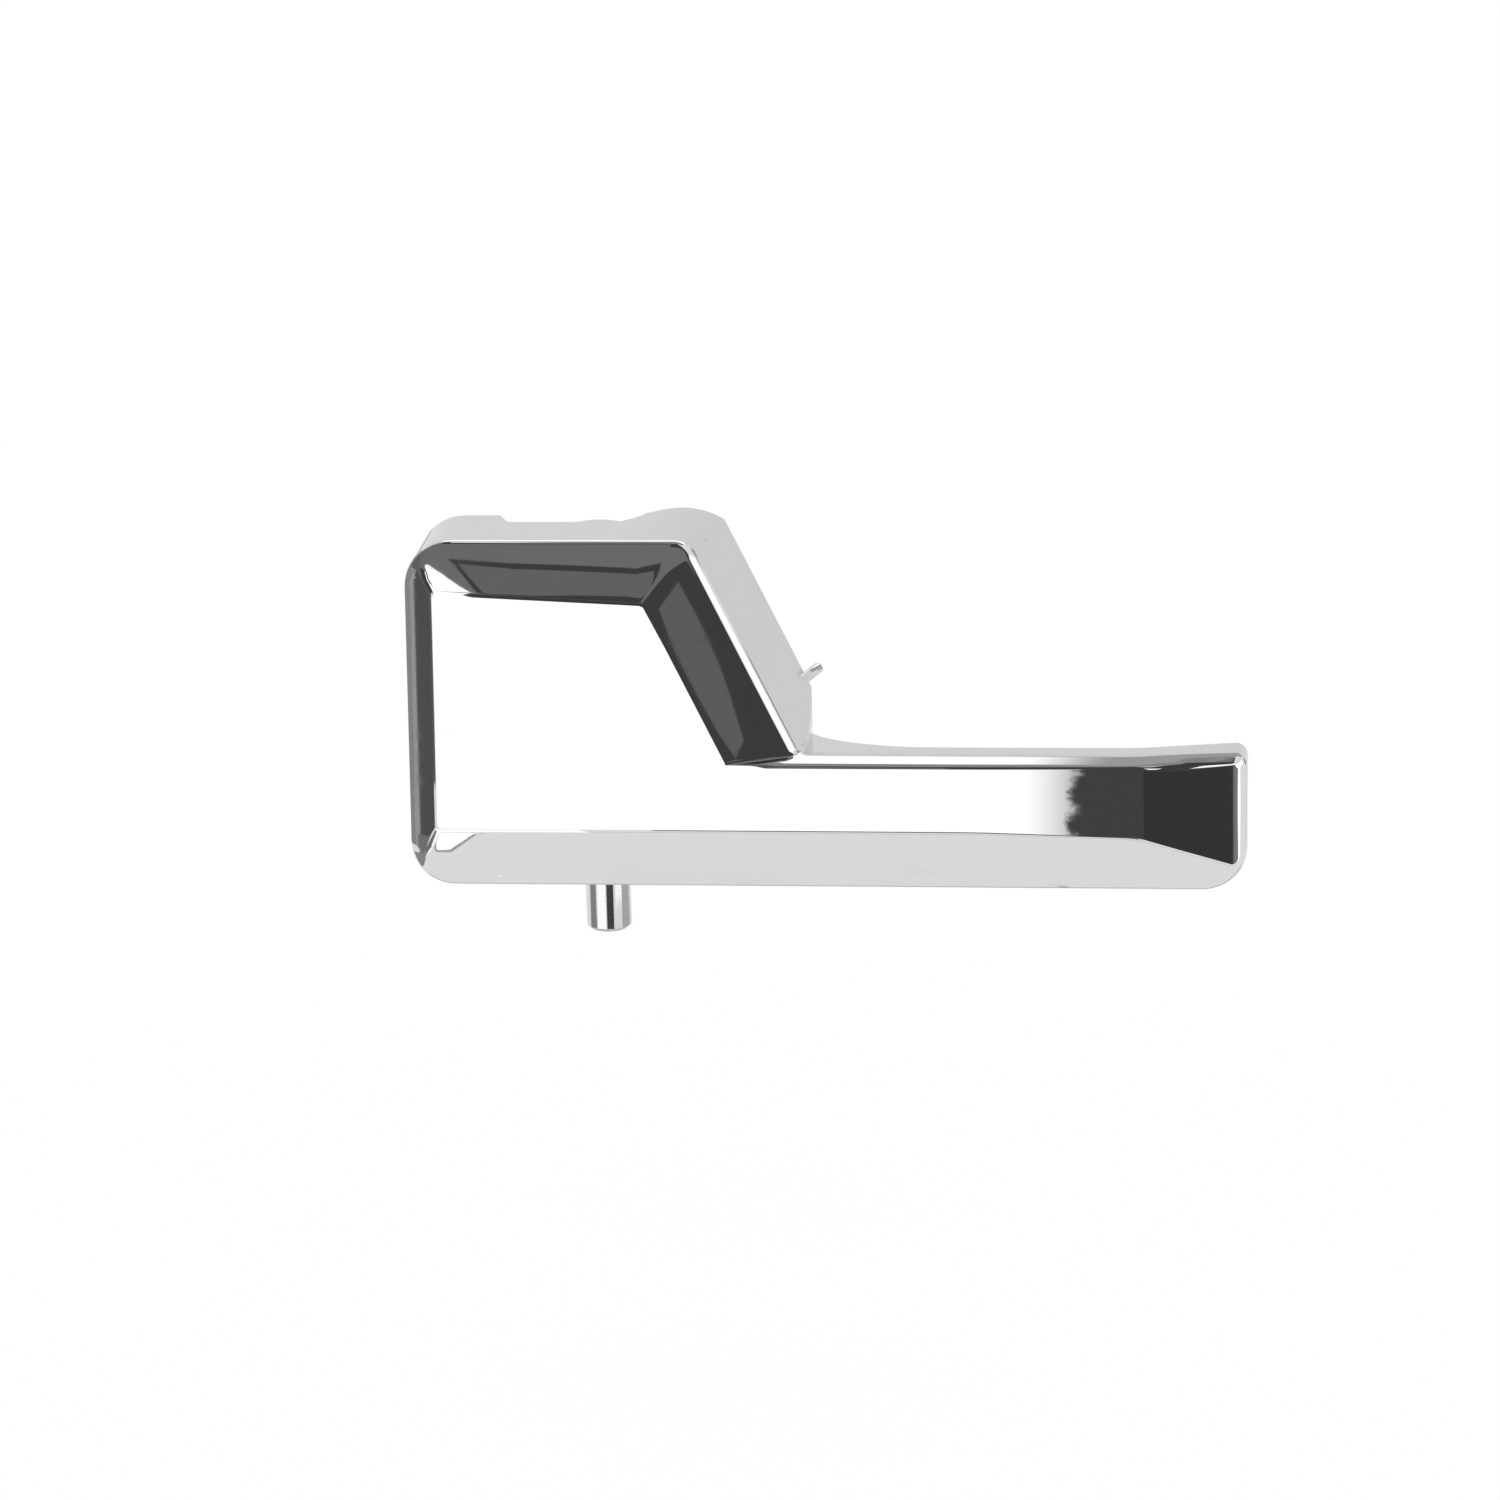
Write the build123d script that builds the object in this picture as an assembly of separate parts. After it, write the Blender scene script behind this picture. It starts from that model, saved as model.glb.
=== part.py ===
"""Inner door release lever of a car: a chrome-plated one-piece lever that swings on a steel pivot pin.

Frame: +Z up along the pivot axis, +X along the finger arm, -Y towards the cabin. The origin is on the
pivot axis, level with the lever's flat underside. A depth is counted from the mirror face towards the door.
All sizes are in millimetres and degrees.
"""
from build123d import *
import os
from math import cos, radians, sin, tan

# Pivot pin: a free end that the door's bezel holds, and a slimmer shank that the lever swings on
PIN_D = 6.0
PIN_FREE = 7.8
PIN_SHOULDER = 0.5
PIN_CHAMFER = 0.5
PIN_DEPTH = 9.6
RUNNING_GAP = 0.04
END_GAP = 0.3

# Outline of the lever, seen from the cabin
BODY_HEIGHT = 46.9
LEFT_FOOT = 25.2
LEFT_LEAN = 0.6
SLOPE_HEAD = 12.6
SLOPE_ANGLE = 64.3
ARM_HEIGHT = 18.3
ARM_REACH = 84.7
HEAD_LEFT_R = 6.5
HEAD_RIGHT_R = 3.6
VALLEY_R = 1.2
TIP_HEAD_R = 1.6
TIP_FOOT_R = 6.0
FOOT_LEFT_R = 5.8

# Bevels between the mirror face and the rim, each with its own width
BEVEL_DEPTH = 2.4
BEVEL_LEFT = 4.1
BEVEL_HEAD = 6.5
BEVEL_HEAD_TWIST = 1.4
BEVEL_SLOPE = 8.8
BEVEL_FOOT = 8.3
BEVEL_ARM = 1.1
BEVEL_TIP = 2.6
FACE_CORNER_R = 1.0
FACE_VALLEY_R = 0.6
CREASE_SHARE = 0.1
RIM_SHARE = 0.12
RIM_DEPTH = 0.9

# Plan of the lever, seen from above: the face leans back a little along the arm and bends back at the tip
BODY_DEPTH = 15.7
BODY_STEP = 0.7
ARM_THICKNESS = 6.9
ARM_BACK_R = 1.2
SWEEP_LENGTH = 17.0
ARM_STRAIGHT = 5.7
LEAN_ANGLE = 0.5
LEAN_R = 600.0
TIP_LENGTH = 14.2
TIP_RISE = 0.5
TIP_ANGLE = 5.4
TIP_BEND_R = 60.0

# Flare of the sloping wall, and the lobe where it runs out on the top wall
FLARE_ANGLE = 12.4
LOBE_BACK = 2.0
LOBE_LENGTH = 7.6
LOBE_RISE = 1.1
LOBE_DROP = 0.5

# Hollow back, and the notch in its top wall that clears the door's bezel
WALL = 2.2
FACE_WALL = 2.4
END_WALL = 3.7
END_WALL_BEVEL = 8.0
HOLLOW_R = 2.0
NOTCH_DEPTH = 12.3
NOTCH_LEFT = 12.2
NOTCH_LEFT_RUN = 1.4
NOTCH_LEFT_R = 0.6
NOTCH_RIGHT = 2.2
NOTCH_RIGHT_RUN = 3.8
NOTCH_RIGHT_R = 2.5

# Pivot bosses and ribs
BOSS_WALL = 1.46
LOWER_BOSS = 12.0
UPPER_BOSS = 12.0
WEB = 3.0
RIB = 1.6
RIB_HEIGHT = 3.2
LOWER_RIB = 17.0
UPPER_RIB = 29.5

# Crank on the lower boss, with an open slot for the door's release rod
CRANK_REACH = 13.5
CRANK_WIDTH = 7.6
CRANK_THICKNESS = 3.6
CRANK_SLOT = 3.0

# Small moulded peg at the lower end of the sloping wall's back edge
PEG_D = 1.5
PEG_LENGTH = 5.4
PEG_INSET = 0.9
PEG_BACK = 2.3
PEG_RISE = 6.1
PEG_TURN = 53.0
PEG_ROUND = 0.4

# How far a cutting or bounding shape runs past the faces that it meets
PAST = 5.0

# Steps in the sections through each rounding of the mirror face
CREASE_STEPS = 3
RIM_STEPS = 4

SHANK_R = PIN_D / 2 - PIN_SHOULDER
BORE_R = SHANK_R + RUNNING_GAP
BOSS_R = BORE_R + BOSS_WALL
BORE_END = BODY_HEIGHT - WALL
TIP_START = ARM_REACH - TIP_LENGTH


def at_depth(depth):
    """Work plane parallel to the mirror face, at a depth behind it."""
    return Plane.XZ.offset(PIN_DEPTH - depth)


def depth_y(depth):
    """Y of a depth behind the mirror face."""
    return depth - PIN_DEPTH


def left_x(z, inset=0.0):
    """Left edge, which leans out towards the foot."""
    return inset - LEFT_FOOT + LEFT_LEAN * z / BODY_HEIGHT


def slope_x(z, inset=0.0):
    """Sloping edge, moved into the body by an inset square to it."""
    return SLOPE_HEAD + (BODY_HEIGHT - z) / tan(radians(SLOPE_ANGLE)) - inset / sin(radians(SLOPE_ANGLE))


def slope_z(x, inset=0.0):
    """Level at which the sloping edge, moved in by an inset, reaches x."""
    return BODY_HEIGHT - (x - slope_x(BODY_HEIGHT, inset)) * tan(radians(SLOPE_ANGLE))


def body_end():
    """Upright end of the body, where the finger arm's sweep starts."""
    return slope_x(ARM_HEIGHT) + BODY_STEP


def flare(depth):
    """How far the sloping wall stands out at a depth."""
    return (depth - BEVEL_DEPTH) * tan(radians(FLARE_ANGLE))


def between(at_rim, at_face, share):
    """A size that changes evenly from the rim, a share of 0, to the mirror face, a share of 1."""
    return at_rim + (at_face - at_rim) * share


def outline(depth, share, stand_out=0.0, lobe=False):
    """Closed outline of the lever at a depth, moved in from the rim by a share of each bevel's width."""
    slope = BEVEL_SLOPE * share - stand_out
    z_left = BODY_HEIGHT - BEVEL_HEAD * share
    z_right = z_left - BEVEL_HEAD_TWIST * share
    z_arm = ARM_HEIGHT - BEVEL_ARM * share
    z_foot = BEVEL_FOOT * share
    x_tip = ARM_REACH - BEVEL_TIP * share
    x_lobe = SLOPE_HEAD - LOBE_BACK
    x_start = x_lobe - LOBE_LENGTH
    head_left = (left_x(z_left, BEVEL_LEFT * share), z_left)
    head_right = (slope_x(z_right, slope), z_right)
    valley = (slope_x(z_arm, slope), z_arm)
    middle = ((head_right[0] + valley[0]) / 2, (head_right[1] + valley[1]) / 2)
    along = (x_start - head_left[0]) / (head_right[0] - head_left[0])
    start = (x_start, z_left + (z_right - z_left) * along)
    around = [
        middle,
        valley,
        (TIP_START, z_arm),
        (x_tip, z_arm + TIP_RISE),
        (x_tip, z_foot),
        (left_x(z_foot, BEVEL_LEFT * share), z_foot),
        head_left,
        start,
    ]
    radii = [
        between(VALLEY_R, FACE_VALLEY_R, share),
        0,
        between(TIP_HEAD_R, FACE_CORNER_R, share),
        between(TIP_FOOT_R, FACE_CORNER_R, share),
        between(FOOT_LEFT_R, FACE_CORNER_R, share),
        between(HEAD_LEFT_R, FACE_CORNER_R, share),
    ]
    tail = FilletPolyline(*around, radius=radii)
    if lobe:
        peak = (x_lobe, z_right + LOBE_RISE)
        knee = (slope_x(z_right - LOBE_DROP, slope), z_right - LOBE_DROP)
        rise = Spline(start, peak, tangents=[(1, 0), (1, 0)])
        head = rise + TangentArc(peak, knee, tangent=(1, 0)) + Line(knee, middle)
    else:
        head = FilletPolyline(start, head_right, middle, radius=[between(HEAD_RIGHT_R, FACE_CORNER_R, share)])
    return at_depth(depth) * Wire(head.edges() + tail.edges())


def rounded(first, corner, last, t):
    """Point on a rounding that leaves first towards a corner and reaches last from it."""
    return first * (1 - t) ** 2 + corner * 2 * t * (1 - t) + last * t ** 2


def crease_sections():
    """Outlines through the soft crease between the mirror face and the bevels."""
    sections = []
    for step in range(CREASE_STEPS + 1):
        t = step / CREASE_STEPS
        share = rounded(1 + CREASE_SHARE, 1, 1 - CREASE_SHARE, t)
        depth = rounded(0, 0, CREASE_SHARE * BEVEL_DEPTH, t)
        sections.append(outline(depth, share))
    return sections


def rim_sections():
    """Outlines through the rounding between the bevels and the walls."""
    sections = []
    for step in range(RIM_STEPS + 1):
        t = step / RIM_STEPS
        share = rounded(RIM_SHARE, 0, 0, t)
        depth = rounded((1 - RIM_SHARE) * BEVEL_DEPTH, BEVEL_DEPTH, BEVEL_DEPTH + RIM_DEPTH, t)
        stand_out = rounded(0, 0, flare(BEVEL_DEPTH + RIM_DEPTH), t)
        sections.append(outline(depth, share, stand_out))
    return sections


def plan_prism():
    """Upright block with the lever's plan: bent face, arm of even thickness, sweep into the deep body."""
    x_before = -LEFT_FOOT - PAST
    x_past = ARM_REACH + PAST
    sweep_end = body_end() + SWEEP_LENGTH
    x_lean = sweep_end + ARM_STRAIGHT
    lean = tan(radians(LEAN_ANGLE)) * (TIP_START - x_lean)
    bend = lean + tan(radians(TIP_ANGLE)) * (x_past - TIP_START)
    face_y = depth_y(0)
    arm_y = depth_y(ARM_THICKNESS)
    back_y = depth_y(BODY_DEPTH)
    bends = [LEAN_R, TIP_BEND_R]
    front = FilletPolyline((x_before, face_y), (x_lean, face_y), (TIP_START, face_y + lean),
                           (x_past, face_y + bend), radius=bends)
    rear = FilletPolyline((sweep_end, arm_y), (x_lean, arm_y), (TIP_START, arm_y + lean),
                          (x_past, arm_y + bend), radius=bends)
    sweep = EllipticalCenterArc((sweep_end, back_y), SWEEP_LENGTH, back_y - arm_y, start_angle=180, arc_size=90)
    end = Line((x_past, face_y + bend), (x_past, arm_y + bend))
    body = Polyline((body_end(), back_y), (x_before, back_y), (x_before, face_y))
    plan = make_face(front.edges() + end.edges() + rear.edges() + sweep.edges() + body.edges())
    return Pos(0, 0, -PAST) * extrude(plan, BODY_HEIGHT + 2 * PAST)


def beside_body():
    """Space above the finger arm's sweep, past the body's upright end."""
    low = (body_end(), depth_y(0), ARM_HEIGHT)
    return block(low, (body_end() + SWEEP_LENGTH, depth_y(BODY_DEPTH) + PAST, BODY_HEIGHT + PAST))


def envelope():
    """The lever's outer form, still solid, with the back of the finger arm rounded all the way."""
    creases = crease_sections()
    rims = rim_sections()
    back = outline(BODY_DEPTH, 0, flare(BODY_DEPTH), lobe=True)
    solid = Part() + Solid.make_loft(creases)
    solid += Solid.make_loft([creases[-1], rims[0]], ruled=True)
    solid += Solid.make_loft(rims)
    solid += Solid.make_loft([rims[-1], back], ruled=True)
    solid = (solid & plan_prism()) - beside_body()
    upright_edges = solid.edges().filter_by(Axis.Z)
    arm_end = upright_edges.group_by(Axis.X)[-1].sort_by(Axis.Y)[-1]
    return fillet(arm_end, ARM_BACK_R)


def hollow_outline(depth, share, stand_out=0.0):
    """Outline of the hollow behind the mirror face; a share of 1 is its floor, 0 its upright walls."""
    z_foot = between(WALL, BEVEL_FOOT, share)
    z_left = BODY_HEIGHT - between(WALL, BEVEL_HEAD, share)
    z_right = z_left - BEVEL_HEAD_TWIST * share
    left = between(WALL, BEVEL_LEFT, share)
    slope = between(WALL, BEVEL_SLOPE, share) - stand_out
    x_end = body_end() - END_WALL - END_WALL_BEVEL * share
    corners = [
        (left_x(z_foot, left), z_foot),
        (left_x(z_left, left), z_left),
        (slope_x(z_right, slope), z_right),
        (x_end, slope_z(x_end, slope)),
        (x_end, z_foot),
    ]
    radius = between(HOLLOW_R, FACE_CORNER_R, share)
    return at_depth(depth) * FilletPolyline(*corners, radius=radius, close=True)


def hollow():
    """Space behind the mirror face, open to the door."""
    shoulder_depth = FACE_WALL + BEVEL_DEPTH
    mouth_depth = BODY_DEPTH + PAST
    floor = hollow_outline(FACE_WALL, 1)
    shoulder = hollow_outline(shoulder_depth, 0, flare(shoulder_depth))
    mouth = hollow_outline(mouth_depth, 0, flare(mouth_depth))
    return Part() + Solid.make_loft([floor, shoulder], ruled=True) + Solid.make_loft([shoulder, mouth], ruled=True)


def notch():
    """Recess in the top wall's back edge, which clears the door's bezel as the lever swings."""
    floor_y = depth_y(NOTCH_DEPTH)
    back_y = depth_y(BODY_DEPTH)
    points = [
        (-NOTCH_LEFT - NOTCH_LEFT_RUN, back_y + PAST),
        (-NOTCH_LEFT - NOTCH_LEFT_RUN, back_y),
        (-NOTCH_LEFT, floor_y),
        (NOTCH_RIGHT, floor_y),
        (NOTCH_RIGHT + NOTCH_RIGHT_RUN, back_y),
        (NOTCH_RIGHT + NOTCH_RIGHT_RUN, back_y + PAST),
    ]
    flanks = FilletPolyline(*points, radius=[NOTCH_LEFT_R, NOTCH_LEFT_R, NOTCH_RIGHT_R, NOTCH_RIGHT_R])
    plan = make_face(flanks.edges() + Line(points[-1], points[0]).edges())
    return Pos(0, 0, BODY_HEIGHT / 2) * extrude(plan, BODY_HEIGHT)


def upright(radius, foot, head):
    """Cylinder on the pivot axis between two levels."""
    return Pos(0, 0, foot) * Cylinder(radius, head - foot, align=(Align.CENTER, Align.CENTER, Align.MIN))


def block(low, high):
    """Block between two corners."""
    size = [high[i] - low[i] for i in range(3)]
    return Pos(*low) * Box(*size, align=(Align.MIN, Align.MIN, Align.MIN))


def stiffening():
    """Webs from the mirror face's back to the bosses, the spine between them and the cross ribs."""
    face_y = depth_y(0)
    rib_y = depth_y(FACE_WALL + RIB_HEIGHT)
    x_end = slope_x(ARM_HEIGHT)
    ribs = block((-WEB / 2, face_y, 0), (WEB / 2, 0, LOWER_BOSS))
    ribs += block((-WEB / 2, face_y, BODY_HEIGHT - UPPER_BOSS), (WEB / 2, 0, BODY_HEIGHT))
    ribs += block((-WEB / 2, face_y, 0), (WEB / 2, rib_y, BODY_HEIGHT))
    for level in (LOWER_RIB, UPPER_RIB):
        ribs += block((-LEFT_FOOT, face_y, level - RIB / 2), (x_end, rib_y, level + RIB / 2))
    return ribs


def crank():
    """Plate that stands back from the lower boss, slotted for the door's release rod."""
    plate = Circle(CRANK_WIDTH / 2)
    plate += Pos(0, CRANK_REACH / 2) * Rectangle(CRANK_WIDTH, CRANK_REACH)
    plate += Pos(0, CRANK_REACH) * Circle(CRANK_WIDTH / 2)
    slot = Circle(CRANK_SLOT / 2) + Pos(CRANK_WIDTH / 2, 0) * Rectangle(CRANK_WIDTH, CRANK_SLOT)
    plate -= Pos(0, CRANK_REACH) * slot
    return Pos(0, 0, LOWER_BOSS - CRANK_THICKNESS) * extrude(plate, CRANK_THICKNESS)


def peg():
    """Round peg that points outwards and back from the sloping wall's back edge."""
    outwards = Vector(sin(radians(SLOPE_ANGLE)), 0, cos(radians(SLOPE_ANGLE)))
    backwards = Vector(0, 1, 0)
    way = outwards * cos(radians(PEG_TURN)) + backwards * sin(radians(PEG_TURN))
    level = ARM_HEIGHT + PEG_RISE
    root_depth = BODY_DEPTH - PEG_BACK
    root = Vector(slope_x(level, PEG_INSET - flare(root_depth)), depth_y(root_depth), level)
    stub = Cylinder(PEG_D / 2, PEG_LENGTH, align=(Align.CENTER, Align.CENTER, Align.MIN))
    stub = fillet(stub.edges().group_by(Axis.Z)[-1], PEG_ROUND)
    return Plane(root, x_dir=way.cross(outwards.cross(backwards)), z_dir=way) * stub


def handle_lever():
    """The whole lever, one moulding."""
    outer = envelope()
    lever = outer - hollow() - notch()
    lever += stiffening() & outer
    lever += upright(BOSS_R, 0, LOWER_BOSS)
    lever += upright(BOSS_R, BODY_HEIGHT - UPPER_BOSS, BODY_HEIGHT)
    lever += crank()
    lever += peg()
    return lever - upright(BORE_R, -PAST, BORE_END)


def pivot_pin():
    """Turned steel pin with a shoulder that the lever's underside rests on."""
    free_end = upright(PIN_D / 2, -PIN_FREE, 0)
    free_end = chamfer(free_end.edges().group_by(Axis.Z)[0], PIN_CHAMFER)
    shank = upright(SHANK_R, 0, BORE_END - END_GAP)
    shank = chamfer(shank.edges().group_by(Axis.Z)[-1], PIN_CHAMFER)
    return free_end + shank


os.makedirs("parts", exist_ok=True)
for name, part in (("handle_lever", handle_lever()), ("pivot_pin", pivot_pin())):
    export_step(part, f"parts/{name}.step")
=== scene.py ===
"""Looks of a car's inner door release lever: bright plating, a polished pivot pin and a small studio."""
import math

import bmesh
import bpy
from bpy.props import FloatProperty, FloatVectorProperty, PointerProperty
from mathutils import Matrix, Vector


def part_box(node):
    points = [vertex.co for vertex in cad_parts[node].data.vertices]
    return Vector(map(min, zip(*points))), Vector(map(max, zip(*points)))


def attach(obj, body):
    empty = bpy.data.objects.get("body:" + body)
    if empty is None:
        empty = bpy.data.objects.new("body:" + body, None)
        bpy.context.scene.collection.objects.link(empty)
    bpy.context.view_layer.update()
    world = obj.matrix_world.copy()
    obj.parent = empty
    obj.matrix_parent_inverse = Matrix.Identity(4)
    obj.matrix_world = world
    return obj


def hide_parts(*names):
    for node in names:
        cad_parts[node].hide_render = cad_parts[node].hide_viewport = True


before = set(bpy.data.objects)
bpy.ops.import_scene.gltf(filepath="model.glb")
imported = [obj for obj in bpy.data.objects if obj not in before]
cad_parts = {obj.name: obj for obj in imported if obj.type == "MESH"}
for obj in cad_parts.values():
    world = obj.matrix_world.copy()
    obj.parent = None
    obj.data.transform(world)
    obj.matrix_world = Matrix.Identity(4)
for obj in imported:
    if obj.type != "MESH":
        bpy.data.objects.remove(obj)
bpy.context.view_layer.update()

bl_info = {
    "name": "Door Release Lever",
    "version": (1, 0, 0),
    "blender": (4, 5, 0),
    "location": "3D View > Sidebar > Lever",
    "description": "Finishes a door release lever and its pivot pin, and sets up the studio around them",
    "category": "Object",
}

LEVER_LOW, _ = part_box("handle_lever")
FACE_Y = LEVER_LOW.y
MM = 0.001

# Outline of the lever, seen from the cabin, in millimetres and radians, the same as its solid's
BODY_HEIGHT = 46.9
LEFT_FOOT = 25.2
LEFT_LEAN = 0.6
SLOPE_HEAD = 12.6
SLOPE_ANGLE = math.radians(64.3)
ARM_HEIGHT = 18.3
ARM_REACH = 84.7
HEAD_LEFT_R = 6.5
HEAD_RIGHT_R = 3.6
VALLEY_R = 1.2
TIP_HEAD_R = 1.6
TIP_FOOT_R = 6.0
FOOT_LEFT_R = 5.8

# Bevels between the mirror face and the rim. The left one and the arm's are narrower than the solid's, and
# the face's corners are sharper. A bevel narrower than the wide one has a wider crease, up to the arm's
BEVEL_DEPTH = 2.4
BEVEL_LEFT = 3.8
BEVEL_HEAD = 6.5
BEVEL_HEAD_TWIST = 1.4
BEVEL_SLOPE = 8.8
BEVEL_FOOT = 8.3
BEVEL_ARM = 0.85
BEVEL_TIP = 2.6
FACE_CORNER_R = 0.7
MITRE = 0.5
CREASE = 0.3
ARM_CREASE = 0.65
WIDE_BEVEL = 2.6
RIM = 1.25
RIM_DEPTH = 0.9
FLARE_ANGLE = math.radians(12.4)

# The face leans back a little along the arm and bends back at the tip, where the rim rises and the face falls
LEAN_START = 49.8
LEAN_ANGLE = math.radians(0.5)
LEAN_EASE = 2.6
TIP_START = 70.5
TIP_RISE = 0.5
TIP_FALL = 1.5
TIP_ANGLE = math.radians(5.4)
TIP_EASE = 1.3

# Shares of a bevel's width that its rim and its crease take at most
RIM_LIMIT = 0.4
CREASE_LIMIT = 0.55

# Steps in the front's mesh, and the arm's stations in millimetres
CORNER_STEPS = 12
HEAD_STEPS = 12
SIDE_STEPS = 8
CREASE_STEPS = 6
BEVEL_ROWS = (0, 0.03, 0.3, 0.65, 0.97)
RIM_STEPS = 8
SETTLE_STEPS = 4
FLAT_END = 0.01
ARM_FROM = 30
ARM_TO = 77
UPRIGHT_COLUMNS = 3

# Seam between the new front and the solid's walls, and the normal under which a face is of the old front
SEAM = 0.85
SEAM_DEPTH = BEVEL_DEPTH + RIM_DEPTH
FRONT_NORMAL = 0.1

# The hollow back, and how far its surfaces lie inside the outline
INNER_WALL = 1.5
HOLLOW_END = 24.0

# Points this close are one, and faces within these angles are shaded smooth or joined as a flat
WELD = 1e-6
SMOOTH_ANGLE = math.radians(32)
FLAT_ANGLE = math.radians(0.05)

# Finishes: noise in waves to the metre, the stretch of noise that counts, and shades of the clean metal
SMUDGE_PATCHES = {"scale": 70, "detail": 3, "stretch_by": (1, 1, 2.5)}
SMUDGE_PATCH_RANGE = (0.5, 0.72)
SMUDGE_STREAKS = {"scale": 160, "detail": 4, "stretch_by": (0.3, 1, 4)}
SMUDGE_STREAK_RANGE = (0.35, 0.75)
SMUDGE_SHADE = 0.95
SPECK_CELLS = 160
SPECK_CHOICE = (0.84, 0.86)
SPECK_SIZE = (0.03, 0.06)
RIPPLES = {"scale": 60, "detail": 1}
HOLLOW_GRAIN = {"scale": 1500, "detail": 2}
HOLLOW_SHADE = 0.72
RINGS = {"scale": 2500, "detail": 2, "stretch_by": (0.02, 0.02, 1)}
RING_RANGE = (0.3, 0.7)
RING_ROUGHNESS = 0.03
RING_SHADE = 0.9

# Places of the colours among a Mix node's sockets
MIX_FIRST, MIX_SECOND, MIX_RESULT = 6, 7, 2

# Camera, which looks at the mirror face, and floor
PHOTO_PIXELS = 1500
PIXELS_TO_MM = 7.7
TARGET_X = 20.34
TARGET_Z = 19.54
SENSOR_WIDTH = 36
FLOOR_SIZE = 6

# Cards: the upright lines that screens curve round, in millimetres, and the degrees between a screen's points
FRONT_Y = -9.6
LEVER_MIDDLE = (20.3, FRONT_Y)
LEFT_EDGE = (-LEFT_FOOT, FRONT_Y)
SLOPE_END = (SLOPE_HEAD, FRONT_Y)
FOOT_CORNER = (-22, -9)
PIN_AXIS = (0, 0)
SCREEN_STEP = 6
STRIDE = 0.01
RAGGED_EDGE = {"Scale": 9.0, "Roughness": 0.75, "Detail": 6.0}


class LeverFinish(bpy.types.PropertyGroup):
    """Plating of the lever."""

    plating: FloatVectorProperty(
        name="Plating", description="Colour of the bright plating", subtype="COLOR",
        default=(0.69, 0.69, 0.69), min=0, max=1)
    polish: FloatProperty(
        name="Polish", description="Roughness of the clean plating", default=0.02, min=0, max=1)
    smudge: FloatProperty(
        name="Smudge", description="Extra roughness where the plating was handled",
        default=0.03, min=0, max=1)
    inside: FloatProperty(
        name="Inside", description="Extra roughness of the plating inside the hollow",
        default=0.3, min=0, max=1)
    ripple: FloatProperty(
        name="Ripple", description="Height of the slow waves in the moulding", unit="LENGTH",
        default=1.5e-6)
    speck: FloatProperty(
        name="Speck", description="Height of the dust specks", default=2e-5, unit="LENGTH")
    grain: FloatProperty(
        name="Grain", description="Height of the grain inside the hollow", default=2e-5, unit="LENGTH")


class PinFinish(bpy.types.PropertyGroup):
    """Polish of the pivot pin."""

    steel: FloatVectorProperty(
        name="Steel", description="Colour of the ground steel", subtype="COLOR",
        default=(0.68, 0.68, 0.68), min=0, max=1)
    polish: FloatProperty(
        name="Polish", description="Roughness of the ground steel", default=0.05, min=0, max=1)
    smudge: FloatProperty(
        name="Smudge", description="Extra roughness where the steel was handled",
        default=0.03, min=0, max=1)
    rings: FloatProperty(
        name="Rings", description="Height of the rings that turning leaves", default=2e-7, unit="LENGTH")


class StageSettings(bpy.types.PropertyGroup):
    """Camera, floor and cards."""

    azimuth: FloatProperty(
        name="Azimuth", description="Camera's turn towards the arm", subtype="ANGLE",
        default=math.radians(6))
    elevation: FloatProperty(
        name="Elevation", description="Camera's height angle", subtype="ANGLE",
        default=math.radians(16.5))
    roll: FloatProperty(
        name="Roll", description="Camera's turn about its line of sight", subtype="ANGLE",
        default=math.radians(-1.4))
    distance: FloatProperty(
        name="Distance", description="From the camera to the lever", unit="LENGTH", default=0.8)
    view_width: FloatProperty(
        name="View width", description="Width of the picture at the lever", unit="LENGTH",
        default=PHOTO_PIXELS * MM / PIXELS_TO_MM)
    drop: FloatProperty(
        name="Drop", description="From the lever's underside to the floor", unit="LENGTH", default=0.06)
    key: FloatProperty(
        name="Key card", description="Brightness of the white cards", default=1.5, min=0)
    shade: FloatProperty(
        name="Shade", description="Brightness of the dark cards", default=0.062, min=0)
    shadow: FloatProperty(
        name="Shadow", description="Share of the floor that takes shade", default=0.15, min=0, max=1)


def deselect():
    """Leaves nothing selected."""
    bpy.ops.object.select_all(action="DESELECT")


def activate(piece):
    """Makes one object the selected and active one."""
    deselect()
    piece.select_set(True)
    bpy.context.view_layer.objects.active = piece


def left_x(z, inset):
    """Left edge, which leans out towards the foot."""
    return inset - LEFT_FOOT + LEFT_LEAN * z / BODY_HEIGHT


def slope_x(z, inset):
    """Sloping edge, moved into the body by an inset square to it."""
    return SLOPE_HEAD + (BODY_HEIGHT - z) / math.tan(SLOPE_ANGLE) - inset / math.sin(SLOPE_ANGLE)


def between(at_rim, at_face, share):
    """A size that changes evenly from the rim, a share of 0, to the mirror face, a share of 1."""
    return at_rim + (at_face - at_rim) * share


def ramp(x, start, ease):
    """Rises evenly past a start, eased in over a length to either side of it."""
    ahead = x - start
    if ahead <= -ease:
        return 0.0
    if ahead >= ease:
        return ahead
    return (ahead + ease) ** 2 / (4 * ease)


def face_depth(x):
    """How far the mirror face lies behind the flat face of the body."""
    lean = math.tan(LEAN_ANGLE)
    bend = math.tan(TIP_ANGLE) - lean
    return lean * ramp(x, LEAN_START, LEAN_EASE) + bend * ramp(x, TIP_START, TIP_EASE)


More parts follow.
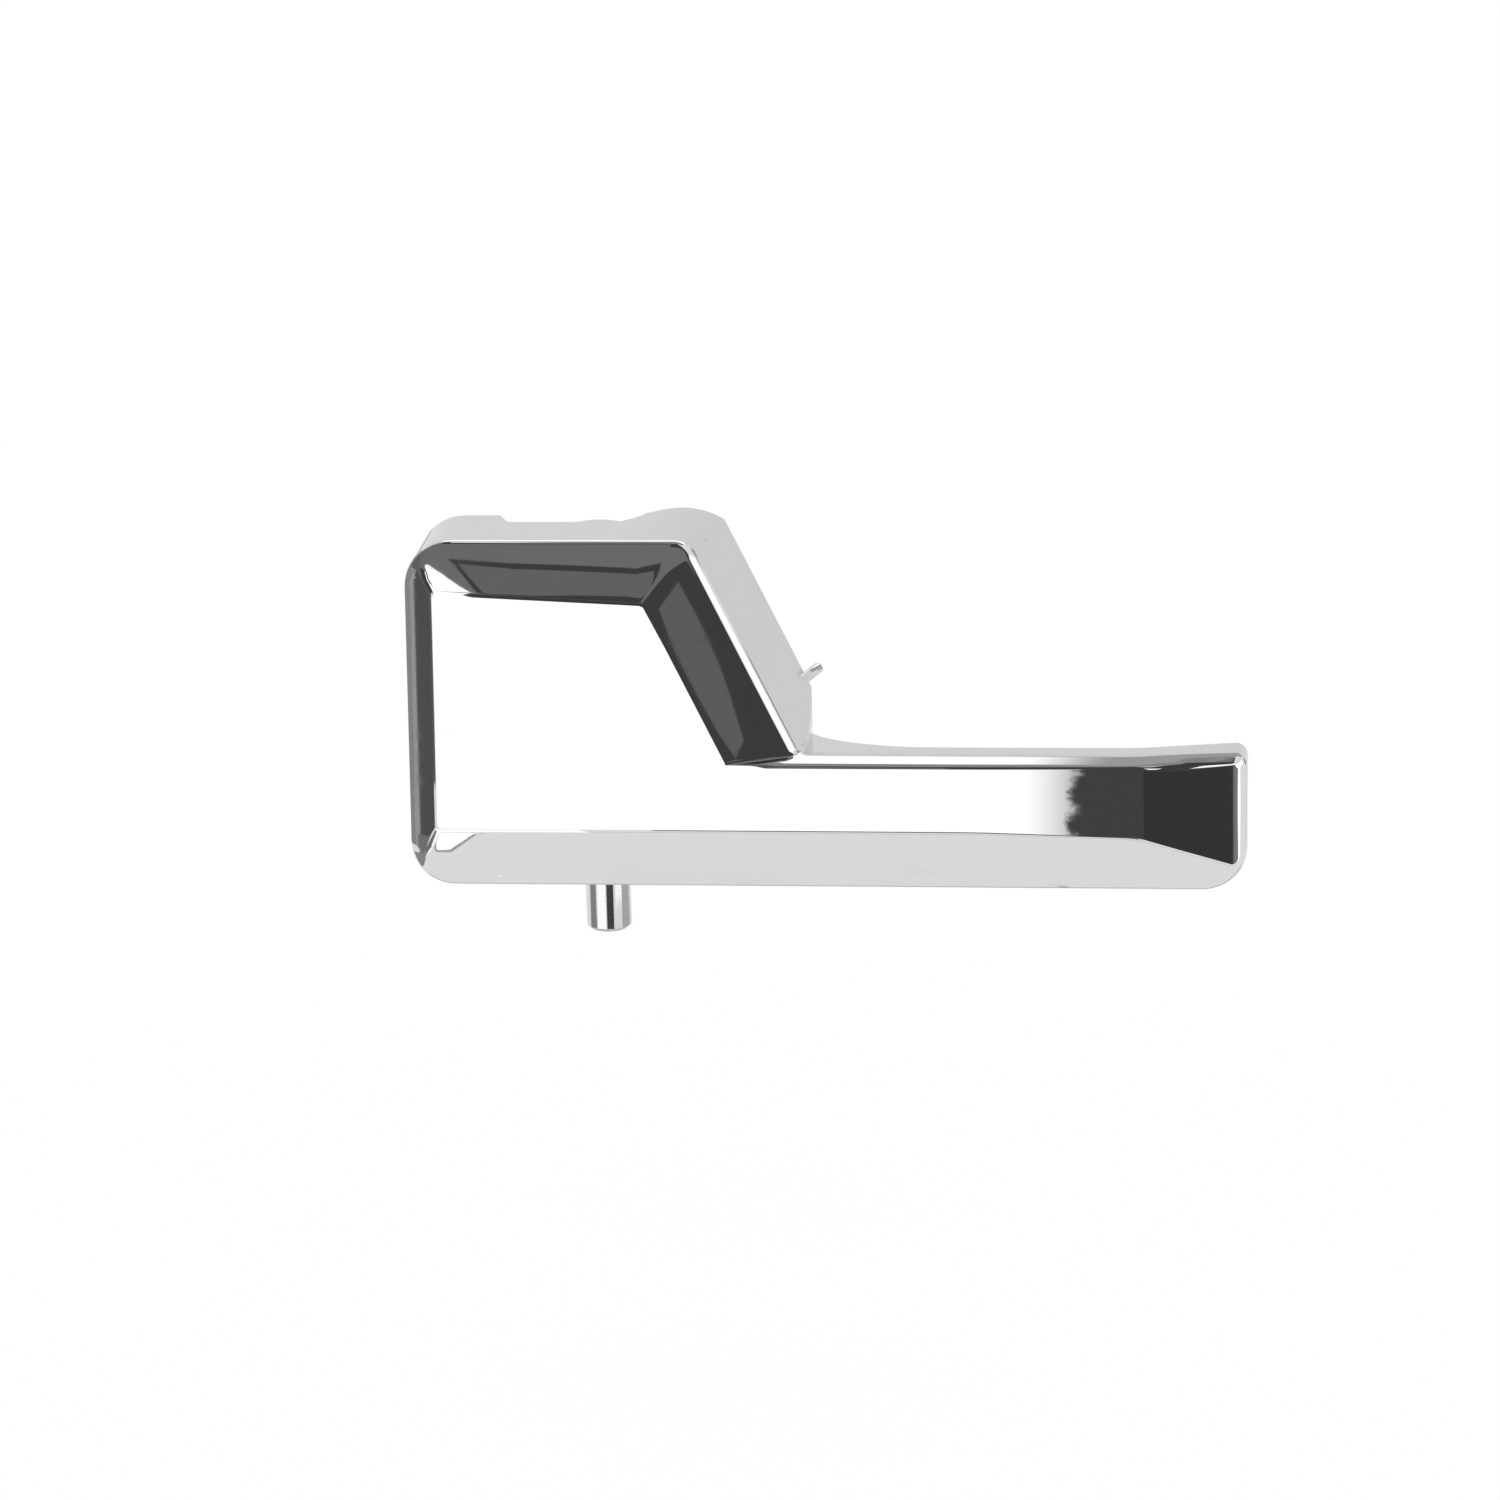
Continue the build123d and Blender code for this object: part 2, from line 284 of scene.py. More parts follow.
def arc(before, corner, after, radius):
    """Points that round a corner of the outline."""
    to_before = (before - corner).normalized()
    to_after = (after - corner).normalized()
    half = to_before.angle(to_after) / 2
    run = radius / math.tan(half)
    centre = corner + (to_before + to_after).normalized() * (radius / math.sin(half))
    first = corner + to_before * run - centre
    last = corner + to_after * run - centre
    return [centre + first.slerp(last, step / CORNER_STEPS) * radius for step in range(CORNER_STEPS + 1)]


def stretch(first, last, steps):
    """Points on a straight stretch, without its ends. Short steps at its ends keep it flat."""
    shares = [FLAT_END, *(step / steps for step in range(1, steps)), 1 - FLAT_END]
    return [first.lerp(last, share) for share in shares]


def outline(share, stand_out=0.0):
    """Runs of points round the lever, clockwise, moved in by a share of each bevel's width."""
    slope = BEVEL_SLOPE * share - stand_out
    z_left = BODY_HEIGHT - BEVEL_HEAD * share
    z_right = z_left - BEVEL_HEAD_TWIST * share
    z_arm = ARM_HEIGHT - BEVEL_ARM * share
    z_foot = BEVEL_FOOT * share
    x_tip = ARM_REACH - BEVEL_TIP * share
    lift = between(TIP_RISE, -TIP_FALL, share)
    rise = lift / (x_tip - TIP_START)
    head_left = Vector((left_x(z_left, BEVEL_LEFT * share), z_left))
    head_right = Vector((slope_x(z_right, slope), z_right))
    valley = Vector((slope_x(z_arm, slope), z_arm))
    tip_bend = Vector((TIP_START, z_arm))
    tip_head = Vector((x_tip, z_arm + lift))
    tip_foot = Vector((x_tip, z_foot))
    foot_left = Vector((left_x(z_foot, BEVEL_LEFT * share), z_foot))
    sharp = min(1.0, share / MITRE)
    at_head_left = arc(foot_left, head_left, head_right, between(HEAD_LEFT_R, FACE_CORNER_R, sharp))
    at_head_right = arc(head_left, head_right, valley, between(HEAD_RIGHT_R, FACE_CORNER_R, sharp))
    at_valley = arc(head_right, valley, tip_bend, between(VALLEY_R, FACE_CORNER_R, sharp))
    at_tip_head = arc(tip_bend, tip_head, tip_foot, between(TIP_HEAD_R, FACE_CORNER_R, sharp))
    at_tip_foot = arc(tip_head, tip_foot, foot_left, between(TIP_FOOT_R, FACE_CORNER_R, sharp))
    at_foot_left = arc(tip_foot, foot_left, head_left, between(FOOT_LEFT_R, FACE_CORNER_R, sharp))
    stations = range(ARM_FROM, ARM_TO + 1)
    arm_head = [Vector((x, z_arm + rise * ramp(x, TIP_START, TIP_EASE))) for x in stations]
    arm_foot = [Vector((x, z_foot)) for x in reversed(stations)]
    return {
        "head_left": at_head_left,
        "head": stretch(at_head_left[-1], at_head_right[0], HEAD_STEPS),
        "head_right": at_head_right,
        "slope": stretch(at_head_right[-1], at_valley[0], SIDE_STEPS),
        "valley": at_valley,
        "arm": stretch(at_valley[-1], arm_head[0], SIDE_STEPS),
        "arm_head": arm_head,
        "tip_head": at_tip_head,
        "tip": stretch(at_tip_head[-1], at_tip_foot[0], SIDE_STEPS),
        "tip_foot": at_tip_foot,
        "arm_foot": arm_foot,
        "foot": stretch(arm_foot[-1], at_foot_left[0], SIDE_STEPS),
        "foot_left": at_foot_left,
        "left": stretch(at_foot_left[-1], at_head_left[0], SIDE_STEPS),
    }


def rounded(first, corner, last, t):
    """Point on a rounding that leaves first towards a corner and reaches last from it."""
    return first * (1 - t) ** 2 + corner * 2 * t * (1 - t) + last * t ** 2


def front_point(flat, depth):
    """A point of the lever from its place in the outline and its depth behind the mirror face."""
    return Vector((flat.x * MM, FACE_Y + depth * MM, flat.y * MM))


def on_track(track, share):
    """A place between the rim and the mirror face. A corner is sharp from the mitre's share inwards."""
    on_rim, on_mitre, on_face = track
    if share < MITRE:
        return on_rim.lerp(on_mitre, share / MITRE)
    return on_mitre.lerp(on_face, (share - MITRE) / (1 - MITRE))


def front_column(track, on_wall, upright):
    """Points from the mirror face over a bevel to the wall. An upright column's crease runs upright."""
    share = 1.0
    for _ in range(SETTLE_STEPS):
        share = 1 - face_depth(on_track(track, share).x) / BEVEL_DEPTH
    run = track[0] - track[-1]
    width = between(run.length, run.y, upright)
    narrow = max(0.0, min(1.0, (WIDE_BEVEL - width) / (WIDE_BEVEL - BEVEL_ARM)))
    rim = min(RIM / width, RIM_LIMIT * share)
    crease = min(between(CREASE, ARM_CREASE, narrow) / width, CREASE_LIMIT * share)

    def on_bevel(at):
        return front_point(on_track(track, at), BEVEL_DEPTH * (1 - at))

    inward = on_track(track, share + crease) - on_track(track, share)
    inward.x *= 1 - upright
    inside = on_track(track, share) + inward
    start = front_point(inside, face_depth(inside.x))
    edge = on_bevel(share)
    head = on_bevel(share - crease)
    foot = on_bevel(rim)
    corner = on_bevel(0)
    wall = front_point(on_wall, SEAM_DEPTH)
    points = [rounded(start, edge, head, step / CREASE_STEPS) for step in range(CREASE_STEPS)]
    points += [on_bevel(between(share - crease, rim, row)) for row in BEVEL_ROWS]
    points += [rounded(foot, corner, wall, SEAM * step / RIM_STEPS) for step in range(RIM_STEPS + 1)]
    return points


def add_front(mesh):
    """Mirror face, bevels and rim in even strips. Returns the open ring at its back."""
    levels = [outline(share) for share in (0, MITRE, 1)]
    on_wall = outline(0, RIM_DEPTH * math.tan(FLARE_ANGLE))
    columns = []
    begins = {}
    for name, run in on_wall.items():
        begins[name] = len(columns)
        tracks = zip(*(level[name] for level in levels))
        for place, (track, at_wall) in enumerate(zip(tracks, run)):
            upright = {"arm": min(1, place / UPRIGHT_COLUMNS), "arm_head": 1}.get(name, 0)
            columns.append([mesh.verts.new(point) for point in front_column(track, at_wall, upright)])
    for column, following in zip(columns, columns[1:] + columns[:1]):
        for row in range(len(column) - 1):
            mesh.faces.new((column[row], following[row], following[row + 1], column[row + 1]))
    inner = [column[0] for column in columns]
    head_at, foot_at = begins["arm_head"], begins["arm_foot"]
    stations = ARM_TO - ARM_FROM
    for step in range(stations):
        head = head_at + step
        foot = foot_at + stations - step
        mesh.faces.new((inner[head], inner[head + 1], inner[foot - 1], inner[foot]))
    mesh.faces.new(inner[:head_at + 1] + inner[foot_at + stations:])
    mesh.faces.new(inner[head_at + stations:foot_at + 1])
    return [column[-1] for column in columns]


def join_flats(mesh):
    """Joins the triangles of each flat, so that roundings are made of even strips."""
    bmesh.ops.dissolve_limit(mesh, angle_limit=FLAT_ANGLE, verts=mesh.verts, edges=mesh.edges)


def open_front(mesh):
    """Takes the solid's own front away down to the seam. Returns the seam's vertices in order."""
    limit = FACE_Y + SEAM_DEPTH * MM + WELD
    front = [face for face in mesh.faces
             if face.normal.y < FRONT_NORMAL and all(vert.co.y < limit for vert in face.verts)]
    bmesh.ops.delete(mesh, geom=front, context="FACES")
    join_flats(mesh)
    seam = [edge for edge in mesh.edges if edge.is_boundary]
    edge = seam[0]
    loop = [edge.verts[0]]
    for _ in seam[1:]:
        loop.append(edge.other_vert(loop[-1]))
        edge = next(other for other in loop[-1].link_edges if other.is_boundary and other is not edge)
    return loop


def turns_right(loop):
    """Whether a loop runs clockwise, seen from the cabin."""
    following = loop[1:] + loop[:1]
    return sum(a.co.x * b.co.z - b.co.x * a.co.z for a, b in zip(loop, following)) < 0


def stitch(mesh, ring, loop):
    """Closes the narrow gap between two loops with triangles."""
    if turns_right(ring) != turns_right(loop):
        loop.reverse()
    nearest = min(range(len(loop)), key=lambda place: (loop[place].co - ring[0].co).length)
    loop = loop[nearest:] + loop[:nearest + 1]
    ring = ring + ring[:1]
    on_ring = on_loop = 0
    while on_ring + on_loop < len(ring) + len(loop) - 2:
        ring_left = on_ring < len(ring) - 1
        loop_left = on_loop < len(loop) - 1
        if ring_left and loop_left:
            over_ring = (ring[on_ring + 1].co - loop[on_loop].co).length
            over_loop = (loop[on_loop + 1].co - ring[on_ring].co).length
            ring_left = over_ring < over_loop
        if ring_left:
            mesh.faces.new((ring[on_ring], ring[on_ring + 1], loop[on_loop]))
            on_ring += 1
        else:
            mesh.faces.new((ring[on_ring], loop[on_loop + 1], loop[on_loop]))
            on_loop += 1


def new_piece(node, name, rework):
    """A new piece with a CAD node's form, its triangles joined and its roundings smooth."""
    piece = bpy.data.objects.new(name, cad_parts[node].data.copy())
    bpy.context.scene.collection.objects.link(piece)
    mesh = bmesh.new()
    mesh.from_mesh(piece.data)
    bmesh.ops.remove_doubles(mesh, verts=mesh.verts, dist=WELD)
    rework(mesh)
    mesh.to_mesh(piece.data)
    mesh.free()
    activate(piece)
    bpy.ops.object.shade_smooth_by_angle(angle=SMOOTH_ANGLE)
    weighted = piece.modifiers.new("Flats stay flat", "WEIGHTED_NORMAL")
    weighted.keep_sharp = True
    bpy.ops.object.modifier_apply(modifier=weighted.name)
    return piece


def in_hollow(place):
    """Whether a place lies in the hollow back, where the plating is dull."""
    x, depth, z = place.x / MM, (place.y - FACE_Y) / MM, place.z / MM
    beside = left_x(z, INNER_WALL) < x < min(slope_x(z, INNER_WALL), HOLLOW_END)
    return depth > BEVEL_DEPTH - WELD and beside and INNER_WALL < z < BODY_HEIGHT - INNER_WALL


def rework_lever(mesh):
    """Gives the lever a front in even strips, so that its mirror shows no facets."""
    loop = open_front(mesh)
    stitch(mesh, add_front(mesh), loop)
    bmesh.ops.recalc_face_normals(mesh, faces=mesh.faces)
    hollow = mesh.faces.layers.float.new("hollow")
    for face in mesh.faces:
        face[hollow] = float(in_hollow(face.calc_center_median()))


def new_material(name):
    """A material with a Principled shader, its nodes, links and the shader."""
    material = bpy.data.materials.new(name)
    material.use_nodes = True
    nodes = material.node_tree.nodes
    return material, nodes, material.node_tree.links, nodes["Principled BSDF"]


def dress(piece, material):
    """Gives a piece one material."""
    piece.data.materials.clear()
    piece.data.materials.append(material)


def shader_group(name, output):
    """A new shader node group with one output: the group, its nodes, its links and the output's socket."""
    group = bpy.data.node_groups.new(name, "ShaderNodeTree")
    group.interface.new_socket(output, in_out="OUTPUT", socket_type="NodeSocketFloat")
    ends = group.nodes.new("NodeGroupOutput")
    return group, group.nodes, group.links, ends.inputs[output]


def object_noise(nodes, links, scale, detail, stretch_by=(1, 1, 1)):
    """Noise that is fixed to the piece. The scale is in waves to the metre."""
    place = nodes.new("ShaderNodeTexCoord")
    mapping = nodes.new("ShaderNodeMapping")
    mapping.inputs["Scale"].default_value = stretch_by
    noise = nodes.new("ShaderNodeTexNoise")
    noise.inputs["Scale"].default_value = scale
    noise.inputs["Detail"].default_value = detail
    links.new(place.outputs["Object"], mapping.inputs["Vector"])
    links.new(mapping.outputs["Vector"], noise.inputs["Vector"])
    return noise.outputs["Fac"]


def limited(nodes, links, value, low, high, to_low=0.0, to_high=1.0):
    """A value that runs softly from one level to another while another one passes from low to high."""
    step = nodes.new("ShaderNodeMapRange")
    step.interpolation_type = "SMOOTHSTEP"
    step.inputs["From Min"].default_value = low
    step.inputs["From Max"].default_value = high
    step.inputs["To Min"].default_value = to_low
    step.inputs["To Max"].default_value = to_high
    links.new(value, step.inputs["Value"])
    return step.outputs["Result"]


def worked(nodes, links, operation, first, second):
    """The result of a sum, a product or the like. Each side is a socket or a number."""
    node = nodes.new("ShaderNodeMath")
    node.operation = operation
    for side, value in enumerate((first, second)):
        if isinstance(value, (int, float)):
            node.inputs[side].default_value = value
        else:
            links.new(value, node.inputs[side])
    return node.outputs[0]


def smudge_group():
    """Faint marks of handling, as a mask."""
    group, nodes, links, mask = shader_group("Handling smudges", "Mask")
    patches = limited(nodes, links, object_noise(nodes, links, **SMUDGE_PATCHES), *SMUDGE_PATCH_RANGE)
    streaks = limited(nodes, links, object_noise(nodes, links, **SMUDGE_STREAKS), *SMUDGE_STREAK_RANGE)
    links.new(worked(nodes, links, "MULTIPLY", patches, streaks), mask)
    return group


def speck_group():
    """Single dust specks some millimetres apart, as a mask."""
    group, nodes, links, mask = shader_group("Dust specks", "Mask")
    place = nodes.new("ShaderNodeTexCoord")
    cells = nodes.new("ShaderNodeTexVoronoi")
    cells.inputs["Scale"].default_value = SPECK_CELLS
    links.new(place.outputs["Object"], cells.inputs["Vector"])
    apart = nodes.new("ShaderNodeSeparateColor")
    links.new(cells.outputs["Color"], apart.inputs["Color"])
    chosen = limited(nodes, links, apart.outputs["Red"], *SPECK_CHOICE)
    near = limited(nodes, links, cells.outputs["Distance"], *SPECK_SIZE, to_low=1.0, to_high=0.0)
    links.new(worked(nodes, links, "MULTIPLY", chosen, near), mask)
    return group


def add_group(nodes, name):
    """The output of a shared node group among a material's nodes. The group is made at its first use."""
    makers = {"Handling smudges": smudge_group, "Dust specks": speck_group}
    node = nodes.new("ShaderNodeGroup")
    node.node_tree = bpy.data.node_groups.get(name) or makers[name]()
    return node.outputs[0]


def shaded(colour, share):
    """A colour with a share of its brightness."""
    return tuple(channel * share for channel in colour)


def mixed_colour(nodes, links, mask, first, second):
    """A colour that goes from the first to the second with a mask. Each is a socket or a colour."""
    mix = nodes.new("ShaderNodeMix")
    mix.data_type = "RGBA"
    links.new(mask, mix.inputs["Factor"])
    for socket, colour in zip((mix.inputs[MIX_FIRST], mix.inputs[MIX_SECOND]), (first, second)):
        if isinstance(colour, tuple):
            socket.default_value = (*colour, 1)
        else:
            links.new(colour, socket)
    return mix.outputs[MIX_RESULT]


def add_bump(nodes, links, shader, height):
    """Raises a shader's surface by a height in metres."""
    bump = nodes.new("ShaderNodeBump")
    bump.inputs["Distance"].default_value = 1.0
    links.new(height, bump.inputs["Height"])
    links.new(bump.outputs["Normal"], shader.inputs["Normal"])


def plating_material(finish):
    """Bright plating with slow waves, smudges and specks. Inside the hollow it is dull and grainy."""
    material, nodes, links, shader = new_material("Bright plating")
    shader.inputs["Metallic"].default_value = 1.0
    smudge = add_group(nodes, "Handling smudges")
    speck = add_group(nodes, "Dust specks")
    inside = nodes.new("ShaderNodeAttribute")
    inside.attribute_name = "hollow"
    hollow = inside.outputs["Fac"]
    clean = tuple(finish.plating)
    colour = mixed_colour(nodes, links, smudge, clean, shaded(clean, SMUDGE_SHADE))
    colour = mixed_colour(nodes, links, hollow, colour, shaded(clean, HOLLOW_SHADE))
    links.new(colour, shader.inputs["Base Color"])
    rough = worked(nodes, links, "MULTIPLY", smudge, finish.smudge)
    rough = worked(nodes, links, "ADD", rough, finish.polish)
    rough = worked(nodes, links, "ADD", rough, worked(nodes, links, "MULTIPLY", hollow, finish.inside))
    links.new(rough, shader.inputs["Roughness"])
    height = worked(nodes, links, "MULTIPLY", object_noise(nodes, links, **RIPPLES), finish.ripple)
    height = worked(nodes, links, "ADD", height, worked(nodes, links, "MULTIPLY", speck, finish.speck))
    grain = worked(nodes, links, "MULTIPLY", object_noise(nodes, links, **HOLLOW_GRAIN), finish.grain)
    height = worked(nodes, links, "ADD", height, worked(nodes, links, "MULTIPLY", grain, hollow))
    add_bump(nodes, links, shader, height)
    return material


def steel_material(finish):
    """Ground and polished steel with the fine rings that turning leaves."""
    material, nodes, links, shader = new_material("Pin steel")
    shader.inputs["Metallic"].default_value = 1.0
    smudge = add_group(nodes, "Handling smudges")
    rings = object_noise(nodes, links, **RINGS)
    clean = tuple(finish.steel)
    colour = mixed_colour(nodes, links, rings, clean, shaded(clean, RING_SHADE))
    links.new(colour, shader.inputs["Base Color"])
    rough = limited(nodes, links, rings, *RING_RANGE, to_high=RING_ROUGHNESS)
    rough = worked(nodes, links, "ADD", rough, finish.polish)
    rough = worked(nodes, links, "ADD", rough, worked(nodes, links, "MULTIPLY", smudge, finish.smudge))
    links.new(rough, shader.inputs["Roughness"])
    add_bump(nodes, links, shader, worked(nodes, links, "MULTIPLY", rings, finish.rings))
    return material


def camera_place(stage):
    """Where the camera stands and what it looks at."""
    target = Vector((TARGET_X * MM, FACE_Y, TARGET_Z * MM))
    level = math.cos(stage.elevation)
    aside = math.sin(stage.azimuth) * level
    ahead = -math.cos(stage.azimuth) * level
    way = Vector((aside, ahead, math.sin(stage.elevation)))
    return target + way * stage.distance, target


def add_camera(stage):
    """A long lens at the picture's viewing angle."""
    place, target = camera_place(stage)
    lens = bpy.data.cameras.new("Camera")
    lens.sensor_width = SENSOR_WIDTH
    lens.lens = lens.sensor_width * stage.distance / stage.view_width
    camera = bpy.data.objects.new("Camera", lens)
    camera.location = place
    turn = (target - place).to_track_quat("-Z", "Y").to_matrix().to_4x4()
    camera.rotation_euler = (turn @ Matrix.Rotation(stage.roll, 4, "Z")).to_euler()
    bpy.context.scene.collection.objects.link(camera)
    bpy.context.scene.camera = camera


def backdrop_rays(nodes, links):
    """1 for the rays that see the backdrop as it looks, 0 for those that only light things."""
    path = nodes.new("ShaderNodeLightPath")
    seen = path.outputs["Is Camera Ray"]
    for other in ("Is Glossy Ray", "Is Transmission Ray"):
        seen = worked(nodes, links, "MAXIMUM", seen, path.outputs[other])
    return seen


def set_world():
    """Plain white surroundings."""
    world = bpy.data.worlds.new("Studio")
    world.use_nodes = True
    bpy.context.scene.world = world
    background = world.node_tree.nodes["Background"]
    background.inputs["Color"].default_value = (1, 1, 1, 1)
    background.inputs["Strength"].default_value = 1.0


def mix_surface(nodes, links, share, first, second):
    """Shows the second shader over the first one by a share."""
    mix = nodes.new("ShaderNodeMixShader")
    for socket, output in zip(mix.inputs, (share, first, second)):
        links.new(output, socket)
    links.new(mix.outputs["Shader"], nodes["Material Output"].inputs["Surface"])


def add_floor(stage):
    """A plain white floor that keeps a faint shadow."""
    deselect()
    bpy.ops.mesh.primitive_plane_add(size=FLOOR_SIZE, location=(0, 0, LEVER_LOW.z - stage.drop))
    floor = bpy.context.object
    floor.name = "Floor"
    material, nodes, links, shader = new_material("Floor white")
    shader.inputs["Base Color"].default_value = (1, 1, 1, 1)
    shader.inputs["Roughness"].default_value = 1.0
    shader.inputs["Specular IOR Level"].default_value = 0.0
    glow = nodes.new("ShaderNodeEmission")
    share = worked(nodes, links, "MULTIPLY", backdrop_rays(nodes, links), 1 - stage.shadow)
    mix_surface(nodes, links, share, shader.outputs["BSDF"], glow.outputs["Emission"])
    dress(floor, material)


def card_material(name, tone, soft, ragged):
    """An even tone that fades out towards the card's edges over a soft share of its size."""
    material, nodes, links, shader = new_material(name)
    nodes.remove(shader)
    glow = nodes.new("ShaderNodeEmission")
    glow.inputs["Color"].default_value = (1, 1, 1, 1)
    glow.inputs["Strength"].default_value = tone
    if not soft:
        links.new(glow.outputs["Emission"], nodes["Material Output"].inputs["Surface"])
        return material
    place = nodes.new("ShaderNodeUVMap")
    apart = nodes.new("ShaderNodeSeparateXYZ")
    links.new(place.outputs["UV"], apart.inputs[0])
    edges = [worked(nodes, links, "PINGPONG", apart.outputs[axis], 0.5) for axis in ("X", "Y")]
    nearest = worked(nodes, links, "MINIMUM", *edges)
    if ragged:
        noise = nodes.new("ShaderNodeTexNoise")
        for socket, value in RAGGED_EDGE.items():
            noise.inputs[socket].default_value = value
        links.new(place.outputs["UV"], noise.inputs["Vector"])
        shift = worked(nodes, links, "MULTIPLY", noise.outputs["Fac"], -ragged)
        nearest = worked(nodes, links, "ADD", shift, nearest)
    clear = nodes.new("ShaderNodeBsdfTransparent")
    share = limited(nodes, links, nearest, 0.0, soft)
    mix_surface(nodes, links, share, clear.outputs["BSDF"], glow.outputs["Emission"])
    return material


def add_card(name, rows, tone, soft=0.0, ragged=0.0):
    """A card that only shows in the metal, from its low and its high row of points."""
    low, high = rows
    steps = len(low) - 1
    mesh = bpy.data.meshes.new(name)
    faces = [(step, step + 1, steps + step + 2, steps + step + 1) for step in range(steps)]
    mesh.from_pydata([*low, *high], [], faces)
    places = mesh.uv_layers.new(name="Card")
    for corner in mesh.loops:
        level, step = divmod(corner.vertex_index, steps + 1)
        places.data[corner.index].uv = (step / steps, level)
    card = bpy.data.objects.new(name, mesh)
    bpy.context.scene.collection.objects.link(card)
    card.visible_camera = False
    card.visible_diffuse = False
    card.visible_shadow = False
    card.visible_transmission = False
    dress(card, card_material(name, tone, soft, ragged))


def sheet(across, low, high):
    """Rows of a flat card between two places across the picture. Each edge is a depth and a level."""
    return [[Vector((x, y, z)) * MM for x in across] for y, z in (low, high)]


def screen(turns, low, high, centre=LEVER_MIDDLE):
    """Rows of a card that curves round a centre between two turns. Each edge is a reach and a level."""
    first, last = turns
    steps = max(2, round(abs(last - first) / SCREEN_STEP))
    angles = [math.radians(first + (last - first) * step / steps) for step in range(steps + 1)]
    rows = []
    for reach, level in (low, high):
        places = [(centre[0] + reach * math.sin(a), centre[1] - reach * math.cos(a), level) for a in angles]
        rows.append([Vector(place) * MM for place in places])
    return rows


def on_left(z, share):
    """A place on the left bevel."""
    return left_x(z, BEVEL_LEFT * share), z


def on_head(x, share):
    """A place on the top bevel, which grows wider towards the slope."""
    z_left = BODY_HEIGHT - BEVEL_HEAD * share
    twist = BEVEL_HEAD_TWIST * share
    x_left = left_x(z_left, BEVEL_LEFT * share)
    x_right = slope_x(z_left - twist, BEVEL_SLOPE * share)
    return x, z_left - twist * (x - x_left) / (x_right - x_left)


def on_foot(x, share):
    """A place on the bottom bevel."""
    return x, BEVEL_FOOT * share


def on_slope(z, share):
    """A place on the sloping bevel."""
    return slope_x(z, BEVEL_SLOPE * share), z


def bevel_spot(side, at, share):
    """A point of a bevel's plane and the way that it faces."""
    def point(at, share):
        return front_point(Vector(side(at, share)), BEVEL_DEPTH * (1 - share))

    here = point(at, share)
    facing = (point(at + STRIDE, share) - here).cross(point(at, share + STRIDE) - here).normalized()
    return here, -facing if facing.y > 0 else facing


def face_spot(x, z):
    """A point of the mirror face and the way that it faces over the next millimetre."""
    lean = face_depth(x + 1) - face_depth(x)
    return front_point(Vector((x, z)), face_depth(x)), Vector((lean, -1, 0)).normalized()


def mirrored(stage, spot, reach):
    """Where the eye's ray that meets a spot of the front ends, and its way there."""
    place, facing = spot
    way = (place - camera_place(stage)[0]).normalized().reflect(facing)
    return place + way * (reach * MM), way


def shown(stage, side, low, high, reach):
    """Rows of a card that shows in a bevel between a low and a high row of places on it."""
    return [[mirrored(stage, bevel_spot(side, *place), reach)[0] for place in row] for row in (low, high)]


def shown_edge(stage, x, heights, reach, width, past):
    """Rows of a card with an edge that shows upright in the mirror face, run past its ends by a share."""
    (foot, way), (head, _) = (mirrored(stage, face_spot(x, z), reach) for z in heights)
    more = (head - foot) * past
    aside = way.cross(Vector((0, 0, 1))).normalized() * (width * MM)
    return [[spot, spot + aside] for spot in (foot - more, head + more)]


def add_face_cards(stage):
    """What the mirror face shows: white in front of it and the dark past the arm's tip."""
    add_card("Front white screen", screen(turns=(-27, 10.5), low=(190, -56), high=(205, 12)), stage.key)
    add_card("Crease white screen", screen(turns=(-27, -18), low=(204, 11), high=(190, 130)), stage.key)
    dark = shown_edge(stage, x=57.1, heights=(9, 16.5), reach=125, width=-60, past=2)
    add_card("Tip dark card", dark, tone=0.07, soft=0.03, ragged=0.16)
    haze = shown_edge(stage, x=54.6, heights=(9, 16.5), reach=126, width=-60, past=2)
    add_card("Tip haze card", haze, tone=0.65, soft=0.2)
    end = shown_edge(stage, x=70.8, heights=(7, 17), reach=124, width=-90, past=1)
    add_card("Tip end dark card", end, tone=0.046)
    side = shown_edge(stage, x=82.93, heights=(7, 17), reach=122, width=-30, past=1)
    add_card("Tip side card", side, tone=0.25)
    add_card("Floor line card", sheet(across=(-60, 110), low=(-98, -57.6), high=(-90, -57.6)), tone=0.6)
    add_card("Tip stripe card", sheet(across=(84.4, 115), low=(-70, 34), high=(-70, 80)), stage.key)


